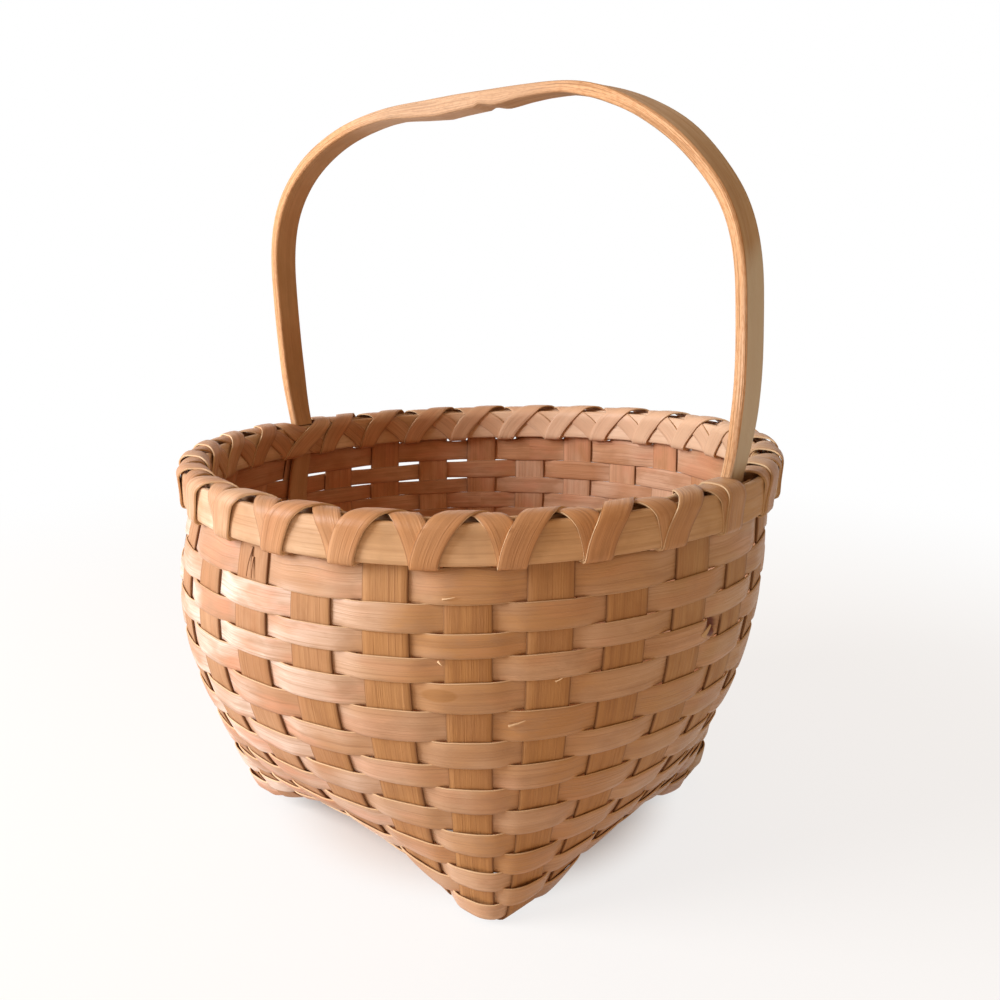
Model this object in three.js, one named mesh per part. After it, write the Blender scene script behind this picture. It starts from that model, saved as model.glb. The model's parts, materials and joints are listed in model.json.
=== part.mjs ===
import * as THREE from 'three';

// Splint basket with a fixed carrying handle: a square base that grows into a round rim.
// Millimetres, +Z up, the origin on the ground under the middle of the base, the handle along X.

// Uprights: long splints that cross under the basket and turn up into the wall
const SIDE_STAKES = 7;
const STAKES = 4 * SIDE_STAKES;
const STAKE_WIDTH = 19;
const STAKE_THICKNESS = 1.2;

// Weavers: thin splint rings, bottom row first, each with the height that it takes up on the wall
const FIRST_ROW_FOOT = 2;
const ROW_HEIGHTS = [8, 9.2, 9.6, 10.4, 11.1, 12, 11.7, 11.5, 12, 14, 13.3, 10.7, 10.5, 12, 14.3];
const WEAVER_THICKNESS = 1;
const ROW_GAP = 0.8;
const WEAVER_OVERHANG = 0.7;
const CLEARANCE = 0.25;

// Wall: square with rounded corners at the ground, round from the hoops up
const BASE_HALF = 91.8;
const BASE_CORNER = 13.5;
const RIM_RADIUS = 145.2;
const SIDE_BELLY = 2.5;
const CORNER_BELLY = 0.7;
const CORNER_SHARPNESS = 4;

// Base: its edges and middle are pushed up, so that the basket stands on its four corners
const ARCH_X = 24;
const ARCH_Y = 9.5;
const ARCH_SHAPE = 1.5;
const ARCH_FADE = 5.1;

// Rim: two hoops with the wall between them, bound by two lashings that lean opposite ways
const HOOP_BOTTOM = 176;
const HOOP_TOP = 193;
const HOOP_THICKNESS = 3.2;
const HOOP_CHAMFER = 1;
const BULGE_STATIONS = 3;
const STAKE_TO_HOOP_TOP = 1.2;
const RIM_ROW_FOOT = 2.5;
const RIM_ROW_TO_TOP = 2;
const LASHING_WIDTH = 14.8;
const LASHING_WIDTH_BELOW = 11.2;
const LASHING_THICKNESS = 0.6;
const LASHING_AIR = 0.4;
const LASHING_SWAY = 0.45;
const LASHING_SWAY_AT_HANDLE = 0.03;

// Handle: a bent bow that spreads a little past the rim, thicker at the grip,
// with thin ends tucked down inside the wall
const HANDLE_WIDTH = 13.6;
const HANDLE_THICKNESS = 5.6;
const HANDLE_SPREAD = 5.2;
const HANDLE_TOP = 365.4;
const HANDLE_SHOULDER = 269.4;
const HANDLE_ROUNDNESS = 2.6;
const HANDLE_CHAMFER = 1;
const GRIP_CENTRE = -14;
const GRIP_HALF = 46;
const GRIP_EXTRA = 4.2;
const TAIL_THICKNESS = 2.6;
const TAIL_TIP_THICKNESS = 1.6;
const TAIL_ROWS = 4;
const NOTCH_START = 1.5;
const NOTCH_END = 0.1;
const NOTCH_SLOPE = 0.5;
const LEG_LEVELS = [206, 220, 236, 252];
const BOW_STEPS = 12;

// Sizes that follow from the ones above
const TURN = (2 * Math.PI) / STAKES;
const BASE_PITCH = (2 * BASE_HALF) / SIDE_STAKES;
const BASE_STEP = (STAKE_THICKNESS + CLEARANCE) / 2;
const BASE_LEVEL = BASE_STEP + STAKE_THICKNESS / 2;
const WEAVE_STEP = (STAKE_THICKNESS + WEAVER_THICKNESS) / 2 + CLEARANCE;
const WEAVE_DEPTH = WEAVE_STEP + WEAVER_THICKNESS / 2;
const CROSSING_HALF = STAKE_WIDTH / 2 + WEAVER_OVERHANG;
const ARCH_FOOT = ((SIDE_STAKES - 1) / 2) * BASE_PITCH - CROSSING_HALF;
const WALL_HEIGHT = HOOP_BOTTOM - BASE_LEVEL;
const STAKE_END = HOOP_TOP - BASE_LEVEL - STAKE_TO_HOOP_TOP;
const addRow = (edges, height) => [...edges, edges.at(-1) + height];
const ROW_EDGES = ROW_HEIGHTS.reduce(addRow, [FIRST_ROW_FOOT]);
const RIM_ROW = [WALL_HEIGHT + RIM_ROW_FOOT, HOOP_TOP - BASE_LEVEL - RIM_ROW_TO_TOP];
const FACET_SAG = RIM_RADIUS * (1 - Math.cos(TURN / 4));
const OUTER_HOOP_INSIDE = RIM_RADIUS + WEAVE_DEPTH + CLEARANCE + FACET_SAG;
const OUTER_HOOP_OUTSIDE = OUTER_HOOP_INSIDE + HOOP_THICKNESS;
const CHORD_SAG = RIM_RADIUS * (1 - Math.cos(STAKE_WIDTH / 2 / RIM_RADIUS));
const INNER_HOOP_OUTSIDE = RIM_RADIUS - CHORD_SAG - WEAVE_DEPTH - CLEARANCE;
const TAIL_FACE = -WEAVE_DEPTH - CLEARANCE;
const HANDLE_HALF_SPAN = RIM_RADIUS + HANDLE_SPREAD;
const HOOP_BULGE = TAIL_THICKNESS + CLEARANCE;

// Steps along and up the wall over which its slope is taken
const SLOPE_STATIONS = 0.05;
const SLOPE_HEIGHT = 0.5;

const splintColours = {
  stake: '#b5814f',
  weaver: '#c99a6b',
  hoop: '#c4936a',
  lashing: '#c08b58',
  handle: '#c9985f',
};

// Closed body from rings of points: ring follows ring, the ends are capped unless the rings close up.
// A splint lies flat on the wall all the way round, so each ring is placed on the wall's own surface.
function bodyFromRings(rings, closed) {
  const size = rings[0].length;
  const points = rings.flat();
  const positions = points.flatMap((point) => [point.x, point.y, point.z]);
  const faces = [];
  const addQuad = (a, b, c, d) => {
    const acrossAC = points[a].distanceTo(points[c]) <= points[b].distanceTo(points[d]);
    faces.push(...(acrossAC ? [[a, b, c], [a, c, d]] : [[a, b, d], [b, c, d]]));
  };
  const last = closed ? rings.length : rings.length - 1;
  for (let ring = 0; ring < last; ring += 1) {
    for (let corner = 0; corner < size; corner += 1) {
      const next = (corner + 1) % size;
      const here = ring * size;
      const there = ((ring + 1) % rings.length) * size;
      addQuad(here + corner, here + next, there + next, there + corner);
    }
  }
  if (!closed) {
    const end = (rings.length - 1) * size;
    for (let corner = 1; corner < size - 1; corner += 1) {
      faces.push([0, corner + 1, corner], [end, end + corner, end + corner + 1]);
    }
  }
  const geometry = new THREE.BufferGeometry();
  geometry.setAttribute('position', new THREE.Float32BufferAttribute(positions, 3));
  const outwards = enclosedVolume(faces, points) > 0;
  geometry.setIndex(outwards ? faces.flat() : faces.flatMap(([a, b, c]) => [a, c, b]));
  geometry.computeVertexNormals();
  return geometry;
}

function enclosedVolume(faces, points) {
  const across = new THREE.Vector3();
  const wedge = ([a, b, c]) => points[a].dot(across.crossVectors(points[b], points[c])) / 6;
  return faces.reduce((sum, face) => sum + wedge(face), 0);
}

// Ring of four points: a splint cut across, from edge to edge, with its thickness along the normal
function splintRing(firstEdge, secondEdge, firstNormal, secondNormal, middle, thickness) {
  const at = (edge, normal, depth) => edge.clone().addScaledVector(normal, depth);
  const outside = middle + thickness / 2;
  const inside = middle - thickness / 2;
  return [
    at(firstEdge, firstNormal, outside), at(secondEdge, secondNormal, outside),
    at(secondEdge, secondNormal, inside), at(firstEdge, firstNormal, inside),
  ];
}

// Arch of the base along one direction, flat over the outermost uprights and straight at each crossing
function archAt(distance) {
  const arch = (at) => Math.max(0, 1 - (at / ARCH_FOOT) ** 2) ** ARCH_SHAPE;
  const nearest = Math.round(distance / BASE_PITCH);
  const offset = distance - nearest * BASE_PITCH;
  const inCrossing = Math.abs(offset) <= CROSSING_HALF;
  const hand = inCrossing ? -1 : Math.sign(offset);
  const length = inCrossing ? -2 * CROSSING_HALF : BASE_PITCH - 2 * CROSSING_HALF;
  const start = nearest * BASE_PITCH + hand * CROSSING_HALF;
  const end = start + hand * length;
  return THREE.MathUtils.lerp(arch(start), arch(end), (distance - start) / (end - start));
}

const baseHeight = (x, y) => ARCH_X * archAt(x) + ARCH_Y * archAt(y);

// Middle surface of the wall. A station counts uprights counterclockwise from the middle of the +X side.
function wallPoint(station, height) {
  const side = Math.floor((station + SIDE_STAKES / 2) / SIDE_STAKES);
  const along = station - side * SIDE_STAKES;
  const share = Math.min(1, Math.max(0, height / WALL_HEIGHT));
  const toCorner = BASE_HALF - Math.abs(along) * BASE_PITCH;
  const foot = new THREE.Vector2(BASE_HALF, along * BASE_PITCH);
  if (toCorner < BASE_CORNER) {
    const bend = (1 - toCorner / BASE_CORNER) * (Math.PI / 4);
    const centre = BASE_HALF - BASE_CORNER;
    const sideways = centre + BASE_CORNER * Math.sin(bend);
    foot.set(centre + BASE_CORNER * Math.cos(bend), Math.sign(along) * sideways);
  }
  const sideOut = 1 - (1 - share) ** SIDE_BELLY;
  const cornerOut = share ** CORNER_BELLY;
  const mix = Math.abs((2 * along) / SIDE_STAKES) ** CORNER_SHARPNESS / 2;
  const rim = new THREE.Vector2(Math.cos(along * TURN), Math.sin(along * TURN)).multiplyScalar(RIM_RADIUS);
  const x = THREE.MathUtils.lerp(foot.x, rim.x, THREE.MathUtils.lerp(sideOut, cornerOut, mix));
  const y = THREE.MathUtils.lerp(foot.y, rim.y, THREE.MathUtils.lerp(cornerOut, sideOut, 1 - mix));
  const quarter = (side * Math.PI) / 2;
  const turned = foot.clone().rotateAround(new THREE.Vector2(), quarter);
  const raised = baseHeight(turned.x, turned.y) * (1 - share) ** ARCH_FADE;
  const plan = new THREE.Vector2(x, y).rotateAround(new THREE.Vector2(), quarter);
  return new THREE.Vector3(plan.x, plan.y, BASE_LEVEL + height + raised);
}

function wallNormal(station, height) {
  const low = Math.max(0, height - SLOPE_HEIGHT);
  const up = wallPoint(station, height + SLOPE_HEIGHT).sub(wallPoint(station, low));
  const ahead = wallPoint(station + SLOPE_STATIONS, height);
  const along = ahead.sub(wallPoint(station - SLOPE_STATIONS, height));
  return along.cross(up).normalize();
}

// Share of a station that a length along the wall takes up at a given height
function stationsFor(length, height) {
  const share = Math.min(1, Math.max(0, height / WALL_HEIGHT));
  const grown = 1 - (1 - share) ** SIDE_BELLY;
  return length / THREE.MathUtils.lerp(BASE_PITCH, RIM_RADIUS * TURN, grown);
}

// Straight line across an upright at a given height, drawn out past both edges for a weaver that passes it
function lineAcross(stake, height, half) {
  const share = stationsFor(STAKE_WIDTH / 2, height);
  const first = wallPoint(stake - share, height);
  const second = wallPoint(stake + share, height);
  const beyond = (half / (STAKE_WIDTH / 2) - 1) / 2;
  return [first.clone().lerp(second, -beyond), second.clone().lerp(first, -beyond)];
}

// Upright: up one side, under the basket and up the other side, over and under the crossing uprights
function stakeBody(lane, alongX) {
  const rings = [];
  const startStation = alongX ? lane : SIDE_STAKES - lane;
  const endStation = alongX ? 2 * SIDE_STAKES - lane : 3 * SIDE_STAKES + lane;
  const wallHeights = [0, ...ROW_EDGES.slice(0, -1), WALL_HEIGHT, STAKE_END];
  const wallRing = (station, height, flip) => {
    const normal = wallNormal(station, height);
    if (height === 0) normal.add(new THREE.Vector3(0, 0, -1)).normalize();
    const edges = lineAcross(station, height, STAKE_WIDTH / 2);
    if (flip) edges.reverse();
    return splintRing(edges[0], edges[1], normal, normal, 0, STAKE_THICKNESS);
  };
  for (const height of [...wallHeights].reverse()) rings.push(wallRing(startStation, height, false));
  const down = new THREE.Vector3(0, 0, -1);
  const lanes = Array.from({ length: SIDE_STAKES }, (_, index) => (SIDE_STAKES - 1) / 2 - index);
  for (const crossed of lanes) {
    const under = (lane + crossed) % 2 === 0 ? 1 : -1;
    const middle = under * BASE_STEP * (alongX ? 1 : -1);
    for (const end of [CROSSING_HALF, -CROSSING_HALF]) {
      const far = crossed * BASE_PITCH + end;
      const edges = [-1, 1].map((hand) => {
        const near = lane * BASE_PITCH + (hand * STAKE_WIDTH) / 2;
        const [x, y] = alongX ? [far, near] : [near, far];
        return new THREE.Vector3(x, y, BASE_LEVEL + baseHeight(x, y));
      });
      if (!alongX) edges.reverse();
      rings.push(splintRing(edges[0], edges[1], down, down, middle, STAKE_THICKNESS));
    }
  }
  for (const height of wallHeights) rings.push(wallRing(endStation, height, true));
  return bodyFromRings(rings, false);
}

// Weaver: a closed ring that passes outside one upright and inside the next
function weaverBody(low, high, parity) {
  const rings = [];
  for (let stake = 0; stake < STAKES; stake += 1) {
    const middle = (stake + parity) % 2 === 0 ? WEAVE_STEP : -WEAVE_STEP;
    const normals = [wallNormal(stake, low), wallNormal(stake, high)];
    const lowLine = lineAcross(stake, low, CROSSING_HALF);
    const highLine = lineAcross(stake, high, CROSSING_HALF);
    for (const end of [0, 1]) {
      const edges = [lowLine[end], highLine[end]];
      rings.push(splintRing(...edges, ...normals, middle, WEAVER_THICKNESS));
    }
  }
  return bodyFromRings(rings, true);
}

function polar(radius, station, z) {
  return new THREE.Vector3(radius * Math.cos(station * TURN), radius * Math.sin(station * TURN), z);
}

// The inner hoop gives way inwards where the handle ends pass behind it
function innerHoopOutside(station) {
  const halfWay = STAKES / 2;
  const fromHandle = Math.abs(station - Math.round(station / halfWay) * halfWay);
  const near = Math.min(1, fromHandle / BULGE_STATIONS);
  return INNER_HOOP_OUTSIDE - (HOOP_BULGE / 2) * (1 + Math.cos(near * Math.PI));
}

const innerHoopInside = (station) => innerHoopOutside(station) - HOOP_THICKNESS;

// Hoop: flat towards the wall, with both edges eased on the side that shows
function hoopBody(wallSide, shownSide) {
  const rings = [];
  for (let half = 0; half < 2 * STAKES; half += 1) {
    const station = half / 2;
    const flat = wallSide(station);
    const shown = shownSide(station);
    const eased = shown - Math.sign(shown - flat) * HOOP_CHAMFER;
    rings.push([
      polar(flat, station, HOOP_BOTTOM), polar(eased, station, HOOP_BOTTOM),
      polar(shown, station, HOOP_BOTTOM + HOOP_CHAMFER), polar(shown, station, HOOP_TOP - HOOP_CHAMFER),
      polar(eased, station, HOOP_TOP), polar(flat, station, HOOP_TOP),
    ]);
  }
  return bodyFromRings(rings, true);
}

// Lashing: one long thin splint wound round both hoops. It passes under them between two uprights,
// leans up the outside, crosses the top over an upright and leans down the inside to the next space.
// Beside a handle end it crosses the top close to the space that it came from.
function lashingBody(lean, layer) {
  const out = LASHING_AIR + layer * (LASHING_THICKNESS + LASHING_AIR);
  const rise = CLEARANCE + layer * (LASHING_THICKNESS + CLEARANCE);
  const cut = (station, width, outside, up) => {
    const half = (width / 2 / RIM_RADIUS) / TURN;
    const ends = [station - half, station + half];
    const away = outside ? 1 : -1;
    const point = (end, depth) => {
      const z = up > 0 ? HOOP_TOP + rise + depth : HOOP_BOTTOM - rise - depth;
      const middle = (HOOP_TOP + HOOP_BOTTOM) / 2;
      const hoop = outside ? OUTER_HOOP_OUTSIDE : innerHoopInside(end) - CLEARANCE;
      return polar(hoop + away * (out + depth), end, up === 0 ? middle : z);
    };
    return [
      point(ends[0], 0), point(ends[1], 0),
      point(ends[1], LASHING_THICKNESS), point(ends[0], LASHING_THICKNESS),
    ];
  };
  const rings = [];
  for (let turn = 0; turn < STAKES; turn += 1) {
    const start = lean * (turn + 0.5);
    const besideHandle = (turn + 1) % (STAKES / 2) === 0;
    const outerTop = start + lean * (besideHandle ? LASHING_SWAY_AT_HANDLE : LASHING_SWAY);
    const innerTop = besideHandle ? outerTop : start + lean * (1 - LASHING_SWAY);
    const end = start + lean;
    rings.push(cut(start, LASHING_WIDTH_BELOW, true, -1));
    rings.push(cut((start + outerTop) / 2, LASHING_WIDTH, true, 0));
    rings.push(cut(outerTop, LASHING_WIDTH, true, 1));
    rings.push(cut(innerTop, LASHING_WIDTH, false, 1));
    rings.push(cut((innerTop + end) / 2, LASHING_WIDTH, false, 0));
    rings.push(cut(end, LASHING_WIDTH_BELOW, false, -1));
  }
  return bodyFromRings(rings, true);
}

// Outer face of the handle in the XZ plane with its thickness there, from the +X end to the top
function handleStations() {
  const stations = [];
  const notchFoot = HOOP_TOP - BASE_LEVEL - NOTCH_START;
  const tailHeights = [...ROW_EDGES.slice(-1 - TAIL_ROWS, -1), WALL_HEIGHT, notchFoot];
  tailHeights.forEach((height, index) => {
    const [edge] = lineAcross(0, height, STAKE_WIDTH / 2);
    const face = edge.addScaledVector(wallNormal(0, height), TAIL_FACE);
    const share = Math.min(1, index / (tailHeights.length - 2));
    const thickness = THREE.MathUtils.lerp(TAIL_TIP_THICKNESS, TAIL_THICKNESS, share);
    stations.push({ x: face.x, z: face.z, thickness });
  });
  const foot = stations.at(-1);
  const leg = (z) => {
    const below = (HANDLE_SHOULDER - z) / (HANDLE_SHOULDER - foot.z);
    return HANDLE_HALF_SPAN - (HANDLE_HALF_SPAN - foot.x) * below ** 2;
  };
  const notchTop = HOOP_TOP + NOTCH_END;
  stations.push({ x: leg(notchTop), z: notchTop, thickness: TAIL_THICKNESS });
  const levels = [notchTop + NOTCH_SLOPE, ...LEG_LEVELS];
  for (const z of levels) stations.push({ x: leg(z), z, thickness: HANDLE_THICKNESS });
  for (let step = 0; step <= BOW_STEPS; step += 1) {
    const angle = (step / BOW_STEPS) * (Math.PI / 2);
    const x = HANDLE_HALF_SPAN * Math.cos(angle) ** (2 / HANDLE_ROUNDNESS);
    const rise = (HANDLE_TOP - HANDLE_SHOULDER) * Math.sin(angle) ** (2 / HANDLE_ROUNDNESS);
    const middle = step === BOW_STEPS;
    stations.push({ x: middle ? 0 : x, z: HANDLE_SHOULDER + rise, thickness: HANDLE_THICKNESS });
  }
  return stations;
}

function handleBody() {
  const half = handleStations();
  const mirrored = half.slice(0, -1).reverse().map((station) => ({ ...station, x: -station.x }));
  const all = [...half, ...mirrored];
  const rings = all.map((station, index) => {
    const before = all[Math.max(0, index - 1)];
    const after = all[Math.min(all.length - 1, index + 1)];
    const run = new THREE.Vector2(after.x - before.x, after.z - before.z).normalize();
    const nearFoot = station.z > HOOP_BOTTOM && station.z < HOOP_TOP + NOTCH_START;
    const inward = nearFoot ? run.set(-Math.sign(station.x), 0) : run.set(-run.y, run.x);
    const grip = Math.max(0, 1 - ((station.x - GRIP_CENTRE) / GRIP_HALF) ** 2);
    const onTop = station.z > HANDLE_SHOULDER;
    const thickness = station.thickness + (onTop ? GRIP_EXTRA * grip : 0);
    const at = (across, depth) => {
      return new THREE.Vector3(station.x + inward.x * depth, across, station.z + inward.y * depth);
    };
    const side = HANDLE_WIDTH / 2;
    const ease = Math.min(HANDLE_CHAMFER, thickness / 4);
    return [
      at(-side, ease), at(-side, thickness - ease), at(-side + ease, thickness), at(side - ease, thickness),
      at(side, thickness - ease), at(side, ease), at(side - ease, 0), at(-side + ease, 0),
    ];
  });
  return bodyFromRings(rings, false);
}

const basket = new THREE.Group();
basket.name = 'splint_basket';

function addPiece(name, geometry, color) {
  const material = new THREE.MeshStandardMaterial({ color, roughness: 0.65, metalness: 0 });
  const mesh = new THREE.Mesh(geometry, material);
  mesh.name = name;
  basket.add(mesh);
}

for (let index = 0; index < SIDE_STAKES; index += 1) {
  const lane = index - (SIDE_STAKES - 1) / 2;
  addPiece(`stake_x_${index + 1}`, stakeBody(lane, true), splintColours.stake);
  addPiece(`stake_y_${index + 1}`, stakeBody(lane, false), splintColours.stake);
}

for (let row = 0; row < ROW_HEIGHTS.length; row += 1) {
  const low = ROW_EDGES[row] + ROW_GAP / 2;
  const high = ROW_EDGES[row + 1] - ROW_GAP / 2;
  addPiece(`weaver_${String(row + 1).padStart(2, '0')}`, weaverBody(low, high, row), splintColours.weaver);
}
addPiece('weaver_rim', weaverBody(RIM_ROW[0], RIM_ROW[1], ROW_HEIGHTS.length), splintColours.weaver);

addPiece('outer_hoop', hoopBody(() => OUTER_HOOP_INSIDE, () => OUTER_HOOP_OUTSIDE), splintColours.hoop);
addPiece('inner_hoop', hoopBody(innerHoopOutside, innerHoopInside), splintColours.hoop);
addPiece('lashing_under', lashingBody(-1, 0), splintColours.lashing);
addPiece('lashing_over', lashingBody(1, 1), splintColours.lashing);
addPiece('handle', handleBody(), splintColours.handle);

export default basket;
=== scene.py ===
# %% [markdown]
# # A woven splint basket with a fixed handle
# The real basket is woven from thin strips of split ash wood, which are called splints. Wide
# uprights cross under it and turn up into the wall, thin weavers go round, two bent hoops hold
# the rim between them, lashings bind the hoops, and a bent bow makes the handle.
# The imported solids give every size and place. Here each splint is bent on smooth curves, with
# eased edges and grain, and it replaces the plain solid of the same piece.

# %% Load the frame
import json
import math
import random

import bpy
from mathutils import Matrix, Vector, noise

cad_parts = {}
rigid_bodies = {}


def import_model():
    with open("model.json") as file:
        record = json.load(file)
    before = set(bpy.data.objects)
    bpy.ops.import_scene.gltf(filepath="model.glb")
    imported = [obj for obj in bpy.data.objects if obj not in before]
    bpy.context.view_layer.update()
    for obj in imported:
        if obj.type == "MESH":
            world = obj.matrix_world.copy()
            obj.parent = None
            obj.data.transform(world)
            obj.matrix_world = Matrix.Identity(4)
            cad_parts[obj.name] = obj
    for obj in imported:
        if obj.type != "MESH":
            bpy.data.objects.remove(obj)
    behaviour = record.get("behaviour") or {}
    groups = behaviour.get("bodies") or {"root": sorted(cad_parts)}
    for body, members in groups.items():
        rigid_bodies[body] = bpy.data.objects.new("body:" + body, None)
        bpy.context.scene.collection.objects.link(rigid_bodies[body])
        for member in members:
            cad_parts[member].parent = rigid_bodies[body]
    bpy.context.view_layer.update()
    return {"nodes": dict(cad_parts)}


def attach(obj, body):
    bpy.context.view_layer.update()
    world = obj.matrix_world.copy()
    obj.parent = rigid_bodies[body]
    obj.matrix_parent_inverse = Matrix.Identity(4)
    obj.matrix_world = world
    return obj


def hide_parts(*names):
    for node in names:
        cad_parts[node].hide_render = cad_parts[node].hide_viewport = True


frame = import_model()
print("solids in the frame:", len(frame["nodes"]))

# %% [markdown]
# ## The sizes of the basket
# All sizes are in millimetres, as a maker would measure them, and they are the sizes of the
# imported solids. Meshes are in metres, so each point is scaled once, when it is placed.

# %% Sizes of the splints, the wall and the rim
MM = 0.001
SIDE_STAKES = 7
STAKES = 4 * SIDE_STAKES
STAKE_WIDTH = 19
STAKE_THICKNESS = 1.2
FIRST_ROW_FOOT = 2
ROW_HEIGHTS = [8, 9.2, 9.6, 10.4, 11.1, 12, 11.7, 11.5, 12, 14, 13.3, 10.7, 10.5, 12, 14.3]
WEAVER_THICKNESS = 1.0
CLEARANCE = 0.25
BASE_HALF = 91.8
BASE_CORNER = 13.5
RIM_RADIUS = 145.2
SIDE_BELLY = 2.5
CORNER_BELLY = 0.7
CORNER_SHARPNESS = 4
ARCH_X = 24
ARCH_Y = 9.5
ARCH_SHAPE = 1.5
ARCH_FADE = 5.1
ARCH_FROM_STAKE = 0.7
HOOP_BOTTOM = 176
HOOP_TOP = 193
HOOP_THICKNESS = 3.2
BULGE_STATIONS = 3
HOOP_BULGE = 2.85
OUTER_HOOP_INSIDE = 147.53
INNER_HOOP_OUTSIDE = 142.79
STAKE_TO_HOOP_TOP = 1.2
RIM_ROW_FOOT = 2.5
RIM_ROW_TO_TOP = 2

# %% Sizes that follow from them
TURN = 2 * math.pi / STAKES
BASE_PITCH = 2 * BASE_HALF / SIDE_STAKES
BASE_LEVEL = (STAKE_THICKNESS + CLEARANCE) / 2 + STAKE_THICKNESS / 2
WALL_HEIGHT = HOOP_BOTTOM - BASE_LEVEL
STAKE_END = HOOP_TOP - BASE_LEVEL - STAKE_TO_HOOP_TOP
ARCH_FOOT = 3 * BASE_PITCH - STAKE_WIDTH / 2 - ARCH_FROM_STAKE
ROW_EDGES = [FIRST_ROW_FOOT]
for row_height in ROW_HEIGHTS:
    ROW_EDGES.append(ROW_EDGES[-1] + row_height)
RIM_ROW = (WALL_HEIGHT + RIM_ROW_FOOT, HOOP_TOP - BASE_LEVEL - RIM_ROW_TO_TOP)
print("top of the weaving, mm above the ground:", round(ROW_EDGES[-1] + BASE_LEVEL, 1))

# %% [markdown]
# ## Helpers for colours, nodes and shares
# Colours are written as the eye reads them, in sRGB hex, and one function turns them linear.
# One small function adds a node with its settings and its links. Sockets that share a name
# are given by their number. Shapes are blended by shares from 0 to 1: one helper goes straight
# from one value to another, one rises softly from 0 to 1, and one makes a soft hump. An operator
# acts on all that is selected, so everything is deselected before a new piece is started.

# %% Helpers for colours, nodes and shares
def linear(colour):
    channels = [int(colour[i:i + 2], 16) / 255 for i in (1, 3, 5)]
    return [c / 12.92 if c <= 0.04045 else ((c + 0.055) / 1.055) ** 2.4 for c in channels] + [1.0]


def add_node(tree, kind, settings=None, links=None):
    node = tree.nodes.new(kind)
    for name, value in (settings or {}).items():
        if isinstance(name, int) or name in node.inputs:
            node.inputs[name].default_value = value
        else:
            setattr(node, name, value)
    for name, source in (links or {}).items():
        tree.links.new(source, node.inputs[name])
    return node


def lerp(a, b, share):
    return a + (b - a) * share


def clamp(value, low=0.0, high=1.0):
    return min(high, max(low, value))


def ramp(value, low, high):
    share = clamp((value - low) / (high - low))
    return share * share * (3 - 2 * share)


def hump(value, centre, reach):
    return math.exp(-((value - centre) / reach) ** 2)


def deselect_all():
    for thing in bpy.context.view_layer.objects:
        thing.select_set(False)


print("a mid grey as linear light:", round(linear("#808080")[0], 3))

# %% [markdown]
# ## The camera
# The photograph was taken from a little above the rim, with one corner of the base nearly
# towards the lens. The place, the turn and the lens were found by fitting the rim, the handle
# and the rows of the weave to their places in the picture.

# %% Camera
CAMERA_PLACE = Vector((0.3271, -0.3917, 0.2864))
CAMERA_HEADING = math.radians(38.4635)
CAMERA_DIP = math.radians(13.4835)
CAMERA_ROLL = math.radians(0.4265)
LENS_PIXELS, PICTURE_PIXELS = 992.7, 1000
SENSOR_WIDTH = 36

ahead = Vector((
    -math.sin(CAMERA_HEADING) * math.cos(CAMERA_DIP),
    math.cos(CAMERA_HEADING) * math.cos(CAMERA_DIP),
    -math.sin(CAMERA_DIP),
))
level_right = Vector((math.cos(CAMERA_HEADING), math.sin(CAMERA_HEADING), 0))
level_up = level_right.cross(ahead)
right = level_right * math.cos(CAMERA_ROLL) + level_up * math.sin(CAMERA_ROLL)
up = level_up * math.cos(CAMERA_ROLL) - level_right * math.sin(CAMERA_ROLL)
camera_data = bpy.data.cameras.new("camera")
camera_data.sensor_width = SENSOR_WIDTH
camera_data.lens = LENS_PIXELS / PICTURE_PIXELS * SENSOR_WIDTH
camera = bpy.data.objects.new("camera", camera_data)
bpy.context.scene.collection.objects.link(camera)
turned = Matrix((right, up, -ahead)).transposed().to_4x4()
camera.matrix_world = Matrix.Translation(CAMERA_PLACE) @ turned
bpy.context.scene.camera = camera
print("lens, mm:", round(camera_data.lens, 2))

# %% [markdown]
# ## Floor and light
# A pale floor keeps the shadow of the basket. The floor and the world show white to the camera,
# and the floor fades to plain white away from the basket, but stays dark under it. The light on
# the basket stays plain: one large soft lamp from the left, as in the photograph, and an even
# warm sky. The distances here are in metres.

# %% Floor
FLOOR_SIZE = 8
FLOOR_BELOW = 0.0004
WHITE_UNDER, UNDER_ENDS = 0.1, 0.07
WHITE_NEAR, NEAR_STARTS, NEAR_ENDS = 0.8, 0.115, 0.28
WHITE_IS_FULL = 0.9


def seen_directly(tree):
    ray = add_node(tree, "ShaderNodeLightPath").outputs
    return add_node(
        tree, "ShaderNodeMath", {"operation": "MAXIMUM"},
        {0: ray["Is Camera Ray"], 1: ray["Is Glossy Ray"]}).outputs[0]


deselect_all()
bpy.ops.mesh.primitive_plane_add(size=FLOOR_SIZE, location=(0, 0, -FLOOR_BELOW))
floor = bpy.context.object
floor.name = "floor"
bpy.ops.object.transform_apply(location=True, rotation=True, scale=True)
floor_paper = bpy.data.materials.new("matt warm white paper floor")
floor_paper.use_nodes = True
tree = floor_paper.node_tree
tree.nodes.clear()
floor_place = add_node(tree, "ShaderNodeTexCoord").outputs["Object"]
from_basket = add_node(
    tree, "ShaderNodeVectorMath", {"operation": "LENGTH"}, {0: floor_place}).outputs["Value"]
near = add_node(
    tree, "ShaderNodeMapRange",
    {"interpolation_type": "SMOOTHSTEP", "From Min": UNDER_ENDS, "From Max": NEAR_STARTS,
     "To Min": WHITE_UNDER, "To Max": WHITE_NEAR},
    {"Value": from_basket})
far = add_node(
    tree, "ShaderNodeMapRange",
    {"interpolation_type": "SMOOTHSTEP", "From Min": NEAR_ENDS, "From Max": WHITE_IS_FULL,
     "To Min": 0.0, "To Max": 1 - WHITE_NEAR},
    {"Value": from_basket})
fade = add_node(
    tree, "ShaderNodeMath", {"operation": "ADD"},
    {0: near.outputs["Result"], 1: far.outputs["Result"]})
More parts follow.
